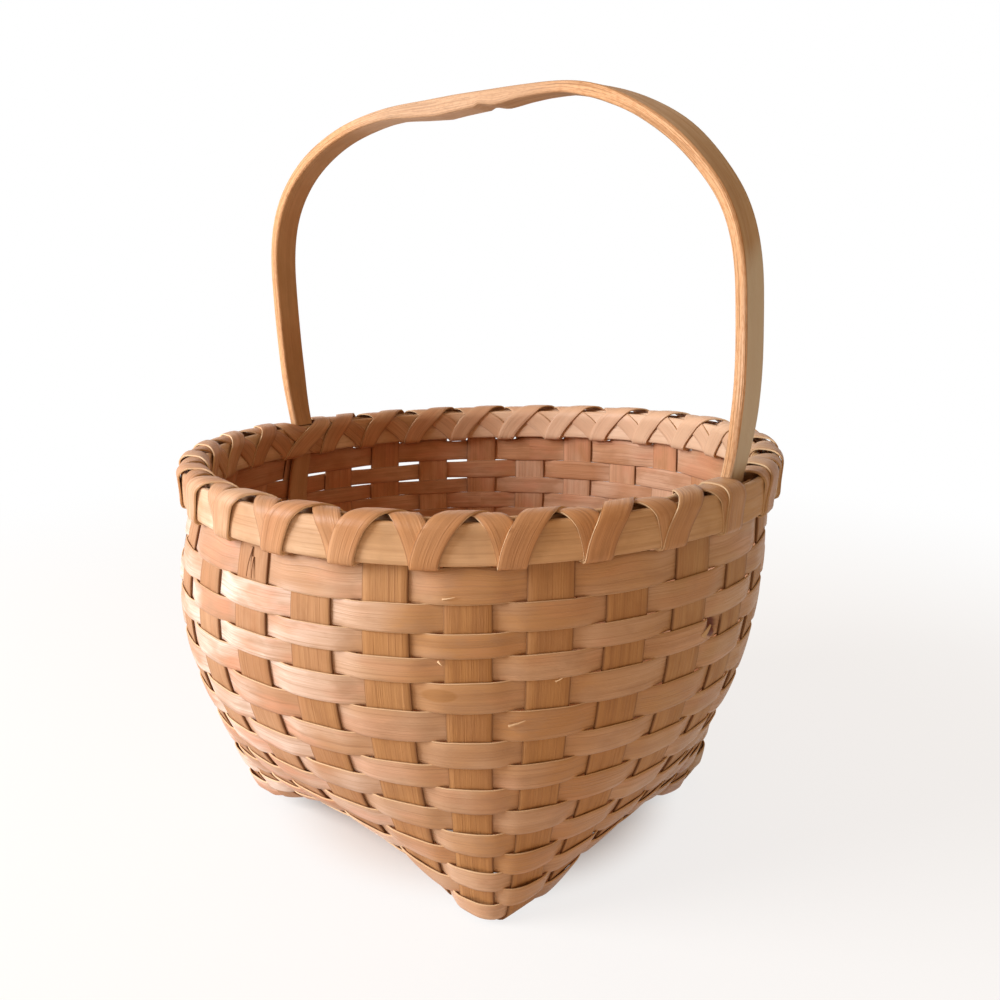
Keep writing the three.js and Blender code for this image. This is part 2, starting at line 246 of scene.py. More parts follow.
white_share = add_node(
    tree, "ShaderNodeMath", {"operation": "MULTIPLY"},
    {0: seen_directly(tree), 1: fade.outputs[0]})
paper = add_node(tree, "ShaderNodeBsdfDiffuse", {"Color": linear("#F7EFE4")})
glow = add_node(tree, "ShaderNodeEmission", {"Color": (1, 1, 1, 1), "Strength": 1.0})
mixed = add_node(
    tree, "ShaderNodeMixShader", None,
    {0: white_share.outputs[0], 1: paper.outputs[0], 2: glow.outputs[0]})
add_node(tree, "ShaderNodeOutputMaterial", None, {"Surface": mixed.outputs[0]})
floor.data.materials.append(floor_paper)
print("floor, m across:", FLOOR_SIZE)

# %% World
SKY_STRENGTH = 0.46
world = bpy.data.worlds.new("even warm studio sky")
bpy.context.scene.world = world
world.use_nodes = True
tree = world.node_tree
tree.nodes.clear()
sky = add_node(
    tree, "ShaderNodeBackground", {"Color": linear("#FFD29F"), "Strength": SKY_STRENGTH})
white = add_node(tree, "ShaderNodeBackground", {"Color": (1, 1, 1, 1), "Strength": 1.0})
mixed = add_node(
    tree, "ShaderNodeMixShader", None,
    {0: seen_directly(tree), 1: sky.outputs[0], 2: white.outputs[0]})
add_node(tree, "ShaderNodeOutputWorld", None, {"Surface": mixed.outputs[0]})
print("sky strength:", SKY_STRENGTH)

# %% Lamp
MIDDLE = Vector((0, 0, 0.16))
LAMP_LEFT, LAMP_NEAR, LAMP_UP = 0.88, 0.31, 0.3
LAMP_SIZE, LAMP_DISTANCE, LAMP_WATTS = 0.9, 1.5, 35
to_camera = (CAMERA_PLACE - MIDDLE).normalized()
lamp_way = -level_right * LAMP_LEFT + to_camera * LAMP_NEAR + Vector((0, 0, LAMP_UP))
lamp_way = lamp_way.normalized()
lamp_data = bpy.data.lights.new("window lamp", "AREA")
lamp_data.shape = "DISK"
lamp_data.size = LAMP_SIZE
lamp_data.energy = LAMP_WATTS
lamp_data.color = linear("#EDF4FF")[:3]
lamp = bpy.data.objects.new("window lamp", lamp_data)
bpy.context.scene.collection.objects.link(lamp)
lamp.location = MIDDLE + lamp_way * LAMP_DISTANCE
lamp.rotation_euler = lamp_way.to_track_quat("Z", "Y").to_euler()
bpy.context.scene.view_settings.view_transform = "Standard"
print("lamp, W:", lamp_data.energy)

# %% [markdown]
# ## Wood
# All pieces are ash, split along the yearly rings, so the broad faces are smooth and show long
# fine lines, and the cut edges are paler. Each strip carries a map of its own length and width
# in metres, so the grain runs along the strip round every bend. The patterns are soft noises
# stretched along the grain, each with its own real length and width in millimetres.

# %% Grain pattern with a real size
def pattern(tree, place, along, across, detail, low, high):
    mapped = add_node(
        tree, "ShaderNodeMapping", {"Scale": (1000 / along, 1000 / across, 1)}, {"Vector": place})
    cloud = add_node(
        tree, "ShaderNodeTexNoise",
        {"noise_dimensions": "2D", "Scale": 1.0, "Detail": detail, "Roughness": 0.55},
        {"Vector": mapped.outputs["Vector"]},
    )
    spread = add_node(
        tree, "ShaderNodeMapRange", {"From Min": low, "From Max": high},
        {"Value": cloud.outputs[0]})
    return spread.outputs["Result"]


def spot(tree, place, where, flatter, ends, full):
    to_middle = (-where[0], -where[1], -where[2] * flatter)
    moved = add_node(
        tree, "ShaderNodeVectorMath",
        {"operation": "MULTIPLY_ADD", 1: (1, 1, flatter), 2: to_middle}, {0: place})
    away = add_node(
        tree, "ShaderNodeVectorMath", {"operation": "LENGTH"},
        {0: moved.outputs[0]}).outputs["Value"]
    return add_node(
        tree, "ShaderNodeMapRange",
        {"interpolation_type": "SMOOTHSTEP", "From Min": ends, "From Max": full},
        {"Value": away}).outputs["Result"]


def tint(tree, share, amount, under, over):
    part = add_node(tree, "ShaderNodeMath", {"operation": "MULTIPLY", 1: amount}, {0: share})
    mixed = add_node(tree, "ShaderNodeMix", {"data_type": "RGBA"})
    tree.links.new(part.outputs[0], mixed.inputs[0])
    for socket, colour in ((6, under), (7, over)):
        if isinstance(colour, str):
            mixed.inputs[socket].default_value = linear(colour)
        else:
            tree.links.new(colour, mixed.inputs[socket])
    return mixed.outputs[2]


# %% [markdown]
# The finish of a split face is made from tones of the same wood. A whole strip is a little
# darker or paler than the next, slow tones change over a hand's width, blushes and stains are the
# size of a fingertip, and lines and fibres run along. The fibres of ash are finer than a pixel,
# so they are drawn about twice as wide as they are. Each pattern has a length along the grain and
# a width across it in millimetres, its detail, and where it starts and is full.

# %% Patterns of split ash
GRAIN = {
    "whole": (420, 150, 1, 0.4, 0.6),
    "slow": (62, 42, 2, 0.4, 0.62),
    "patches": (34, 13, 2, 0.48, 0.66),
    "stains": (19, 9, 3, 0.5, 0.7),
    "bands": (260, 3.4, 2, 0.42, 0.7),
    "lines": (85, 0.9, 2, 0.5, 0.78),
    "fibres": (14, 0.5, 2, 0.35, 0.7),
}
WHOLE_AMOUNT = 0.75
GRAIN_STRENGTH, GRAIN_DEPTH = 0.35, 0.0003
OPEN_PORES, SMOOTHER, ROUGHER = 0.25, 0.06, 0.1
print("patterns of the wood:", len(GRAIN))

# %% [markdown]
# The wood is raw, and its open pores give back only half the gloss of a sealed face. The edges of
# the woven strips are painted darker as painted shade, where each strip carries its distance from
# the middle, and one foot is paler and greyer. The front right side of the basket is painted an
# even gold and has lost its pale patches and blushes, as painted shade, and the far right side is
# painted a little greyish as painted sheen. One weaver carries the oval mark of a small knot, a
# dent in another is painted dark as painted shadow, and the back of the rim is paler. A mark is
# given by its place in metres, how much flatter than wide it is, where it ends and where it is
# full, its amount and its colour.

# %% Marks of age and use, painted shade and painted sheen
# Colours of the marks: a dark brown that paints shade along the edges of the woven strips and
# darkens the cracks of the handle, a greyish tan that paints sheen, and the pale tan of the pale
# foot.
SHADE_AND_CRACK_DARK, SHEEN_GREY, FOOT_PALE_GREY = "#5F3A1E", "#BAA27E", "#C4AC88"
EDGE_SHADE_STARTS, EDGE_SHADE_FULL = 0.89, 1.04
PALE_FOOT = ((0.094, 0.094, 0.012), 1, 0.045, 0.02, 0.6, FOOT_PALE_GREY)
KNOT = ((0.0818, -0.1206, 0.1193), 2.5, 0.0082, 0.0062, 0.5, "#A06E38")
# The dent mark paints shadow into the dent of one weaver.
DENT_SHADOW_MARK = ((0.1446, -0.0157, 0.1335), 1, 0.0058, 0.0044, 0.85, "#5E1A08")
PALE_RIM = ((0.01, 0.14, 0.185), 1, 0.15, 0.06, 0.55, "#EEC4A2")
# The front right side is painted an even gold as painted shade, and the far right side is painted
# greyish as painted sheen.
SHADE_WAY = (math.cos(math.radians(-20)), math.sin(math.radians(-20)), 0)
SHADE_STARTS, SHADE_FULL, SHADE_AMOUNT, SHADE_EVENS = 0.035, 0.115, 0.7, 0.75
SHEEN_WAY = (math.cos(math.radians(35)), math.sin(math.radians(35)), 0)
SHEEN_STARTS, SHEEN_FULL = 0.05, 0.12


def facing(tree, place, way, starts, full):
    toward = add_node(
        tree, "ShaderNodeVectorMath", {"operation": "DOT_PRODUCT", 1: way},
        {0: place}).outputs["Value"]
    return add_node(
        tree, "ShaderNodeMapRange",
        {"interpolation_type": "SMOOTHSTEP", "From Min": starts, "From Max": full},
        {"Value": toward}).outputs["Result"]


def marked(tree, place, colour, mark):
    where, flatter, ends, full, amount, mark_colour = mark
    return tint(tree, spot(tree, place, where, flatter, ends, full), amount, colour, mark_colour)


# %% [markdown]
# One function puts the finish together, from the broad tones to the fine lines, with the painted
# shade along the edges and the marks over them. The relief and the gloss follow the same lines
# and fibres, so that they agree with the colours.

# %% Finish of a split face
def split_wood(name, tones, amounts, roughness, edge_shade=0.0, sheen_amount=0.55, marks=()):
    body, deep, pale, blush, stain, line, fibre, shade_gold = tones
    finish = bpy.data.materials.new(name)
    finish.use_nodes = True
    tree = finish.node_tree
    tree.nodes.clear()
    strip_map = add_node(tree, "ShaderNodeUVMap", {"uv_map": "UVMap"}).outputs["UV"]
    grain = {kind: pattern(tree, strip_map, *sizes) for kind, sizes in GRAIN.items()}
    place = add_node(tree, "ShaderNodeTexCoord").outputs["Object"]
    # Painted shade on the front right side and painted sheen on the far right side, set by where
    # each point stands.
    in_painted_shade = facing(tree, place, SHADE_WAY, SHADE_STARTS, SHADE_FULL)
    in_painted_sheen = facing(tree, place, SHEEN_WAY, SHEEN_STARTS, SHEEN_FULL)
    patches_out_of_shade = add_node(
        tree, "ShaderNodeMath", {"operation": "MULTIPLY_ADD", 1: -SHADE_EVENS, 2: 1.0},
        {0: in_painted_shade}).outputs[0]
    for kind in ("slow", "patches"):
        grain[kind] = add_node(
            tree, "ShaderNodeMath", {"operation": "MULTIPLY"},
            {0: grain[kind], 1: patches_out_of_shade}).outputs[0]
    colour = tint(tree, grain["whole"], WHOLE_AMOUNT, body, deep)
    colour = tint(tree, in_painted_shade, SHADE_AMOUNT, colour, shade_gold)
    colour = tint(tree, in_painted_sheen, sheen_amount, colour, SHEEN_GREY)
    kinds = ("slow", "patches", "stains", "bands", "lines", "fibres")
    for kind, amount, tone in zip(kinds, amounts, (pale, blush, stain, line, line, fibre)):
        colour = tint(tree, grain[kind], amount, colour, tone)
    # Painted shade along the edges of the woven strips, where they meet their neighbours.
    if edge_shade:
        to_edge = add_node(tree, "ShaderNodeAttribute", {"attribute_name": "edge"}).outputs["Fac"]
        edge_shadow = add_node(
            tree, "ShaderNodeMapRange",
            {"interpolation_type": "SMOOTHSTEP", "From Min": EDGE_SHADE_STARTS, "From Max": EDGE_SHADE_FULL},
            {"Value": to_edge})
        colour = tint(tree, edge_shadow.outputs["Result"], edge_shade, colour, SHADE_AND_CRACK_DARK)
    for mark in (*marks, PALE_FOOT):
        colour = marked(tree, place, colour, mark)
    relief = add_node(
        tree, "ShaderNodeMath", {"operation": "MULTIPLY_ADD", 1: 0.5},
        {0: grain["fibres"], 2: grain["lines"]})
    bump = add_node(
        tree, "ShaderNodeBump", {"Strength": GRAIN_STRENGTH, "Distance": GRAIN_DEPTH},
        {"Height": relief.outputs[0]})
    gloss = add_node(
        tree, "ShaderNodeMapRange",
        {"To Min": roughness - SMOOTHER, "To Max": roughness + ROUGHER},
        {"Value": grain["fibres"]})
    surface = add_node(
        tree, "ShaderNodeBsdfPrincipled",
        {"IOR": 1.5, "Metallic": 0.0, "Specular IOR Level": OPEN_PORES},
        {"Base Color": colour, "Roughness": gloss.outputs["Result"], "Normal": bump.outputs[0]})
    add_node(tree, "ShaderNodeOutputMaterial", None, {"Surface": surface.outputs[0]})
    return finish


# %% [markdown]
# The uprights are the darkest strips, from nearer the heart of the log, and show straight lines.
# The weavers are scraped smooth, pale tan with pink patches. The inner faces of both are painted
# one even, warmer and redder tone as painted shade. Lashings are thin and silky, hoops are shaved,
# and every cut edge shows the light inside of the wood. Each wood has eight tones, the amounts of
# its six patterns, a roughness and its share of painted shade along the edges.

# %% The woods of the basket
upright_wood = split_wood(
    "ash upright splint, split and scraped",
    ("#B4865F", "#A36E47", "#C49873", "#B3794F", "#9A6A42", "#8B5A34", "#A27349", "#BA864A"),
    (0.6, 0.4, 0.35, 0.3, 0.4, 0.3), 0.6, 0.85)
weaver_wood = split_wood(
    "ash weaver splint, scraped smooth",
    ("#C79D7F", "#B17E5B", "#EBD4C3", "#D5926E", "#AE8766", "#9C704A", "#B68C69", "#BE8B50"),
    (1.0, 0.75, 0.5, 0.25, 0.46, 0.32), 0.46, 0.65, marks=(KNOT, DENT_SHADOW_MARK))
# The inner faces get a warmer, redder tone as painted shade.
inner_shade_wood = split_wood(
    "ash splint, inner face, painted shade tone",
    ("#CA9268", "#B87E54", "#DEB698", "#D08C68", "#A6744C", "#9A663E", "#B08058", "#D6A27C"),
    (0.6, 0.5, 0.4, 0.25, 0.35, 0.25), 0.58, 0.6, sheen_amount=0.0)
hoop_wood = split_wood(
    "ash hoop, shaved",
    ("#CFA67F", "#BC8C63", "#E8CCAE", "#C8966E", "#A9845E", "#A0754C", "#B89068", "#CC9D68"),
    (0.8, 0.4, 0.45, 0.3, 0.35, 0.25), 0.52, marks=(PALE_RIM,))
lashing_wood = split_wood(
    "ash lashing splint, silky",
    ("#C49068", "#AE764D", "#D8B18C", "#C88A60", "#A2764E", "#94643C", "#A87850", "#C68C55"),
    (0.7, 0.45, 0.45, 0.3, 0.5, 0.3), 0.44, 0.6, marks=(PALE_RIM,))
cut_wood = split_wood(
    "ash cut edge, raw",
    ("#DEBC94", "#D2AA7E", "#E8CAA4", "#D2A67A", "#BE9668", "#B88C5E", "#C89E74", "#D8B68C"),
    (0.6, 0.3, 0.2, 0.2, 0.2, 0.2), 0.75)
print("woods:", len([m for m in bpy.data.materials if m.name.startswith("ash")]))

# %% [markdown]
# ## The surface that everything is woven on
# The wall is square with rounded corners at the ground and round at the rim. A place on it is
# given by a station, which counts uprights from the middle of the +X side, and a height up the
# wall. The middle of the base and the middles of its sides are pushed up, so that the basket
# stands on its four corners.

# %% Base and wall
PROBE_UP, PROBE_ROUND = 0.5, 0.05


def arch_at(distance):
    return max(0, 1 - (distance / ARCH_FOOT) ** 2) ** ARCH_SHAPE


def base_height(x, y):
    return ARCH_X * arch_at(x) + ARCH_Y * arch_at(y)


def wall_point(station, height):
    side = math.floor((station + SIDE_STAKES / 2) / SIDE_STAKES)
    along = station - side * SIDE_STAKES
    share = clamp(height / WALL_HEIGHT)
    to_corner = BASE_HALF - abs(along) * BASE_PITCH
    foot_x, foot_y = BASE_HALF, along * BASE_PITCH
    if to_corner < BASE_CORNER:
        bend = (1 - to_corner / BASE_CORNER) * math.pi / 4
        centre = BASE_HALF - BASE_CORNER
        foot_x = centre + BASE_CORNER * math.cos(bend)
        foot_y = math.copysign(centre + BASE_CORNER * math.sin(bend), along)
    side_out = 1 - (1 - share) ** SIDE_BELLY
    corner_out = share ** CORNER_BELLY
    mix = abs(2 * along / SIDE_STAKES) ** CORNER_SHARPNESS / 2
    rim_x, rim_y = RIM_RADIUS * math.cos(along * TURN), RIM_RADIUS * math.sin(along * TURN)
    x = lerp(foot_x, rim_x, lerp(side_out, corner_out, mix))
    y = lerp(foot_y, rim_y, lerp(corner_out, side_out, 1 - mix))
    cos, sin = math.cos(side * math.pi / 2), math.sin(side * math.pi / 2)
    raised = base_height(foot_x * cos - foot_y * sin, foot_x * sin + foot_y * cos)
    z = BASE_LEVEL + height + raised * (1 - share) ** ARCH_FADE
    return Vector((x * cos - y * sin, x * sin + y * cos, z))


def wall_normal(station, height):
    low, high = max(0, height - PROBE_UP), height + PROBE_UP
    rise = wall_point(station, high) - wall_point(station, low)
    run = wall_point(station + PROBE_ROUND, height) - wall_point(station - PROBE_ROUND, height)
    return run.cross(rise).normalized()


def pitch_at(height):
    share = clamp(height / WALL_HEIGHT)
    return lerp(BASE_PITCH, RIM_RADIUS * TURN, 1 - (1 - share) ** SIDE_BELLY)


print("station 0 at mid height:", [round(c, 1) for c in wall_point(0, 90)])

# %% [markdown]
# ## The hand of the maker
# The solids are even all round, but the real basket was woven by hand and has been in use. Its
# rim dips at the back left and is pushed out where the right end of the handle presses, the
# wall at the left bellies more, the wall above the right corner is pinched, the left corner of
# the base is drawn in and stands a little off the ground, and the bow leans a little to the
# left. These are a few millimetres each, at most about nine. One smooth push gives them to every
# piece alike, so that neighbours stay together.

# %% Hand-made shape
SIDEWAYS = math.radians(38)
RIM_OUT, RIM_OUT_RIGHT, RIM_OUT_OVAL = -0.8, 2.15, -0.8
HANDLE_PUSH, HANDLE_PUSH_REACH = 3.2, 0.35
BELLY, BELLY_RIGHT, BELLY_OVAL = 4.45, -3.6, 1.45
LEFT_CORNER_IN, LEFT_CORNER_UP, RIGHT_CORNER_OUT = 5.5, 6.5, 2
LEFT_CORNER = math.radians(-135)
RIGHT_PINCH, RIGHT_PINCH_AT, RIGHT_PINCH_REACH = 3.2, 0.28, 0.15
LEAN_MEAN, LEAN_X, LEAN_Y, LEAN_TWIST = -0.8, 3.6, 2.2, 2.0
LEG_REACH = 60
BOW_LEAN, BOW_LEAN_FROM, BOW_LEAN_FULL = 3.6, 225, 325


def hand_made(point):
    angle = math.atan2(point.y, point.x)
    across = math.hypot(point.x, point.y)
    share = clamp(point.z / HOOP_BOTTOM)
    above = 1 / (1 + (max(0, point.z - HOOP_BOTTOM) / LEG_REACH) ** 2)
    once, twice = math.cos(angle - SIDEWAYS), math.cos(2 * (angle - SIDEWAYS))
    push = HANDLE_PUSH * hump(angle, 0, HANDLE_PUSH_REACH)
    out = (RIM_OUT + RIM_OUT_RIGHT * once + RIM_OUT_OVAL * twice + push) * share ** 2 * above
    out += (BELLY + BELLY_RIGHT * once + BELLY_OVAL * twice) * math.sin(math.pi * share ** 1.7)
    corner_in = lerp(LEFT_CORNER_IN, -RIGHT_CORNER_OUT, (1 + once) / 2)
    out -= corner_in * (1 - share) ** 4 * (0.5 + 0.5 * math.sin(2 * angle)) ** 2
    pinched = hump(share, RIGHT_PINCH_AT, RIGHT_PINCH_REACH)
    out -= RIGHT_PINCH * pinched * max(0, -math.cos(angle - LEFT_CORNER)) ** 4
    out *= min(1, across / BASE_HALF) ** 2
    lean = LEAN_MEAN + LEAN_X * math.cos(angle) + LEAN_Y * math.sin(angle)
    lean += LEAN_TWIST * math.sin(2 * angle)
    rise = lean * share ** 1.5 * min(1, across / RIM_RADIUS) * above
    from_corner = max(0, math.cos(angle - LEFT_CORNER))
    outward = min(1, across / (BASE_HALF * 1.3)) ** 4
    rise += LEFT_CORNER_UP * from_corner ** 6 * (1 - share) ** 3 * outward
    left = BOW_LEAN * ramp(point.z, BOW_LEAN_FROM, BOW_LEAN_FULL)
    away = out / max(across, 1)
    return Vector((point.x * (1 + away) - left, point.y * (1 + away), point.z + rise))


belly = wall_point(STAKES / 2, 90)
print("push of the left wall at mid height, mm:", round((hand_made(belly) - belly).length, 1))

# %% [markdown]
# ## Bending a strip
# A real splint is a flat strip that is bent while it is wet. Here it is a flat grid, and each of
# its corners is moved to its place on the bent strip. Solidify then gives it its thickness and
# Bevel eases the cut edges. A ring is a grid whose ends meet, with the meeting points merged.
# Every point of a woven strip keeps its share of the way from the middle to the edge. A strip
# gets the wood of its face, that of its other face where it differs, and that of its cut edge.

# %% Strip maker
EASED_EDGE = 0.22
MERGE_WITHIN = 0.002
EASE_OVER, SMOOTH_UNDER = math.radians(50), math.radians(46)


def bent_grid(name, along, across, place, length, width, shift, joined=()):
    deselect_all()
    bpy.ops.mesh.primitive_grid_add(x_subdivisions=along, y_subdivisions=across, size=1)
    strip = bpy.context.object
    strip.name = strip.data.name = "shaped_" + name
    edge_share = strip.data.attributes.new("edge", "FLOAT", "POINT")
    for vertex, share in zip(strip.data.vertices, edge_share.data):
        share.value = 0 if "sides" in joined else abs(2 * vertex.co.y)
        vertex.co = hand_made(place(vertex.co.x + 0.5, vertex.co.y + 0.5)) * MM
    for corner in strip.data.uv_layers[0].data:
        corner.uv = (corner.uv.x * length * MM + shift[0], corner.uv.y * width * MM + shift[1])
    strip.data.uv_layers[0].name = "UVMap"
    if joined:
        bpy.ops.object.mode_set(mode="EDIT")
        bpy.ops.mesh.select_all(action="SELECT")
        bpy.ops.mesh.remove_doubles(threshold=MERGE_WITHIN * MM)
        if "ends filled" in joined:
            bpy.ops.mesh.select_all(action="DESELECT")
            bpy.ops.mesh.select_mode(type="EDGE")
            bpy.ops.mesh.select_non_manifold()
            bpy.ops.mesh.edge_face_add()
            bpy.ops.mesh.select_mode(type="VERT")
        bpy.ops.mesh.select_all(action="SELECT")
        bpy.ops.mesh.normals_make_consistent(inside=False)
        bpy.ops.object.mode_set(mode="OBJECT")
    return strip


def thicken(strip, thickness, eased, woods):
    bpy.context.view_layer.objects.active = strip
    for wood in woods:
        strip.data.materials.append(wood)
    wall = strip.modifiers.new("thickness", "SOLIDIFY")
    wall.thickness = thickness * MM
    wall.offset = 0
    wall.material_offset = 1 if len(woods) == 3 else 0
    wall.material_offset_rim = len(woods) - 1
    ease = strip.modifiers.new("eased edges", "BEVEL")
    ease.width = eased * MM
    ease.segments = 1
    ease.angle_limit = EASE_OVER
    for modifier in ("thickness", "eased edges"):
        bpy.ops.object.modifier_apply(modifier=modifier)


def finish_strip(strip, thickness, woods, nodes, splinters=()):
    if thickness:
        thicken(strip, thickness, EASED_EDGE, woods)
    else:
        strip.data.materials.append(woods[0])
    if splinters:
        for splinter in splinters:
            splinter.select_set(True)
        strip.select_set(True)
        bpy.context.view_layer.objects.active = strip
        bpy.ops.object.join()
    bpy.ops.object.shade_smooth_by_angle(angle=SMOOTH_UNDER)
    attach(strip, "root")
    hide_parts(*nodes)
    return len(strip.data.polygons)


# %% [markdown]
# ## The wave of the weave
# A weaver runs outside one upright and inside the next. Over an upright it lies nearly flat, and
# in the space between two uprights it crosses to the other side. Its own stiffness makes it
# bulge a little over the middle of each upright, most in the narrow turns near the base. The
# uprights give way the opposite way. The solids leave room between the strips, but the real ones
# lie tight, so the wave is flat and the strips are a fifth of a millimetre thinner here.

# %% Weave wave
STRIP_THINNER = 0.2
WEAVE_FLAT = 8.6
WEAVE_STEP = 0.84
WEAVE_BULGE_LOW = 0.75
WEAVE_BULGE_HIGH = 0.24
WEAVE_BULGE_ROWS = 6
WEAVE_BULGE_RIM = 0.25
UPRIGHT_GIVE = 0.1
EDGE_WANDER = 0.7


def over_and_under(distance, pitch, flat):
    past = abs(distance) - flat
    if past <= 0:
        return 1.0
    return math.cos(math.pi * past / (pitch - 2 * flat))


def row_edge(boundary, station):
    angle = station * TURN
    place = Vector((3.1 * math.cos(angle), 3.1 * math.sin(angle), 5.7 * boundary))
    return EDGE_WANDER * noise.noise(place)


print("swing of a weaver over an upright, mm:", WEAVE_STEP)

# %% [markdown]
# ## Splinters
# In a few places the split wood has come loose: a thin splinter stands off its strip and is held
# at one end. Each is a narrow tapered strip of its own, joined to the strip that it belongs to.
# It is given by its station and height, its length along the strip and up the wall, its width,
# how far it starts off the wall and how far its loose middle or end stands off.

# %% Splinters
SPLINTER_THICKNESS, SPLINTER_EASED, SPLINTER_TAPER = 0.35, 0.05, 0.75
SPLINTERS = {
    "stake_y_4": [(-7.03, 172, -0.4, -12.5, 1.8, 0.8, 1.2), (-6.98, 168, 0.7, -9, 1.1, 0.8, 0.7)],
    "weaver_13": [(-4.36, 134.9, 1.9, -1.3, 0.9, 1.5, 1.2)],
    "weaver_12": [
        (-2.92, 123.7, 2.6, 1.6, 0.6, 1.5, 0.8), (-0.71, 128.3, 3.6, 4.8, 3.8, 1.4, 0.4)],
    "weaver_10": [(-3.5, 105, 7, 2.6, 1.0, 1.5, 0.7)],
    "weaver_15": [(-4.3, 160.6, 5, 1.2, 0.7, 1.4, 0.8)],
}


def splinter(wood, station, height, length, rise, width, rest, lift):
    def place(u, v):
        wide = width * (1 - SPLINTER_TAPER * u) * (v - 0.5)
        whole = math.hypot(length, rise)
        across = Vector((-rise, length)) / whole * wide
        where = station + (length * u + across.x) / pitch_at(height)
        level = height + rise * u + across.y
        stand = rest + lift * math.sin(math.pi * 0.62 * u)
        return wall_point(where, level) + wall_normal(where, level) * stand

    piece = bent_grid("splinter", 8, 2, place, math.hypot(length, rise), width, (5.1, 3.3))
    thicken(piece, SPLINTER_THICKNESS, SPLINTER_EASED, (wood,))
    return piece


print("splinters:", sum(len(places) for places in SPLINTERS.values()))

# %% [markdown]
# ## Weavers
# Fifteen weavers show, and one more is hidden between the hoops. Each is a strip of its own
# width. Its ends meet behind an upright, where a maker hides them, and a different one in each
# row. The edges wander by half a millimetre, as in hand work, and neighbouring rows share them.
# The lower rows are packed tight, edge over edge, and the upper ones leave fine slits, given as
# the overlap of all rows below a number. Two slits stand open at the back, given as the station
# of their middle, their reach and half their height, and one weaver is dented beside the right
# foot of the handle, which left a dark pocket. Every strip starts at its own place on its map,
# so that no two show the same grain.

# %% Weavers
ALONG, ACROSS = 14, 6
PACKED_ROWS = ((4, 0.5), (9, 0.3), (STAKES, 0.02))
WEAVER_SWELL, WEAVER_CROWN = 0.2, 0.16
BULGE_AT_TAIL, TAIL_FROM_ROW = 0.1, 10
TUCKED_UNDER_HOOP = 1.6
OPEN_SLITS = {13: (11.4, 1.4, 0.6), 14: (12.0, 2.0, 1.1)}
DENTED_WEAVER = "weaver_12"
DENT_STATION, DENT_REACH, DENT_EDGE = -0.47, 0.18, 0.05
DENT_DEPTH, DENT_FROM = 3.4, 0.2
rng = random.Random(11)


def map_shift():
    return rng.uniform(0, 40), rng.uniform(0, 40)


def way_round(station, centre):
    return (station - centre + STAKES / 2) % STAKES - STAKES / 2


def slit(boundary, station):
    centre, reach, half_open = OPEN_SLITS.get(boundary, (0, 1, 0))
    return half_open * math.exp(-(way_round(station, centre) / reach) ** 4)


def dent(name, station, v):
    inside = DENT_REACH - abs(way_round(station, DENT_STATION))
    pressed = DENT_DEPTH * clamp(inside / DENT_EDGE) * clamp((v - DENT_FROM) / DENT_FROM)
    return pressed if name == DENTED_WEAVER else 0


def weaver(row, low_edge, high_edge, bulge, name):
    first = (row + 1) % 2 + 2 * rng.randrange(STAKES // 2)
    packed = next(overlap for below, overlap in PACKED_ROWS if row < below)
    tucked = row == len(ROW_HEIGHTS) - 1

    def place(u, v):
        station = first + u * STAKES
        nearest = round(station)
        part = station - nearest
        outside = 1 if (nearest + row) % 2 == 0 else -1
        low = low_edge + row_edge(row, station) + slit(row, station)
        high = high_edge + row_edge(row + 1, station) - slit(row + 1, station)
        swell = math.cos(math.pi * part)
        half = (high - low) / 2 + packed + WEAVER_SWELL * swell ** 2
        height = (low + high) / 2 + (2 * v - 1) * half
        if tucked:
            height += TUCKED_UNDER_HOOP * v * swell ** 2
        pitch = pitch_at(height)
        at_tail = outside < 0 and nearest % (STAKES // 2) == 0 and row >= TAIL_FROM_ROW
        own = BULGE_AT_TAIL if at_tail else bulge
        wave = WEAVE_STEP * over_and_under(part * pitch, pitch, WEAVE_FLAT) + own * swell
        crown = WEAVER_CROWN * swell * (0.5 - (2 * v - 1) ** 2)
        side = outside * (wave + crown) - dent(name, station, v)
        return wall_point(station, height) + wall_normal(station, height) * side

    length = STAKES * pitch_at(low_edge)
    strip = bent_grid(
        name, STAKES * ALONG, ACROSS, place, length, high_edge - low_edge, map_shift(), ("ends",))
    loose = [splinter(cut_wood, *where) for where in SPLINTERS.get(name, ())]
    thickness = WEAVER_THICKNESS - STRIP_THINNER
    edge_wood = cut_wood if row < len(ROW_HEIGHTS) else weaver_wood
    woods = (weaver_wood, inner_shade_wood, edge_wood)
    return finish_strip(strip, thickness, woods, (name,), loose)


for row in range(len(ROW_HEIGHTS)):
    bulge = lerp(WEAVE_BULGE_LOW, WEAVE_BULGE_HIGH, clamp(row / WEAVE_BULGE_ROWS))
    weaver(row, ROW_EDGES[row], ROW_EDGES[row + 1], bulge, f"weaver_{row + 1:02d}")
faces = weaver(len(ROW_HEIGHTS), RIM_ROW[0], RIM_ROW[1], WEAVE_BULGE_RIM, "weaver_rim")
print("weavers:", len(ROW_HEIGHTS) + 1, "faces in the last:", faces)

# %% [markdown]
# ## Uprights
# An upright is one flat strip that runs down one side, under the basket and up the other side.
# Under the basket the two sets are woven over and under each other. The fold from base to wall
# is not sharp, because the wet wood bends over a few millimetres, so the rows of points near the
# fold are evened out.

# %% Uprights
STEP = 2.2
FOLD_IN_WALL, FOLD_IN_BASE, FOLD_PASSES = 3, 5, 6
STAKE_CROWN = 0.12
BASE_WAVE, BASE_FLAT, BASE_BULGE = 0.6, 7, 0.15
EDGE_RIPPLE, RIPPLES = 0.3, 26


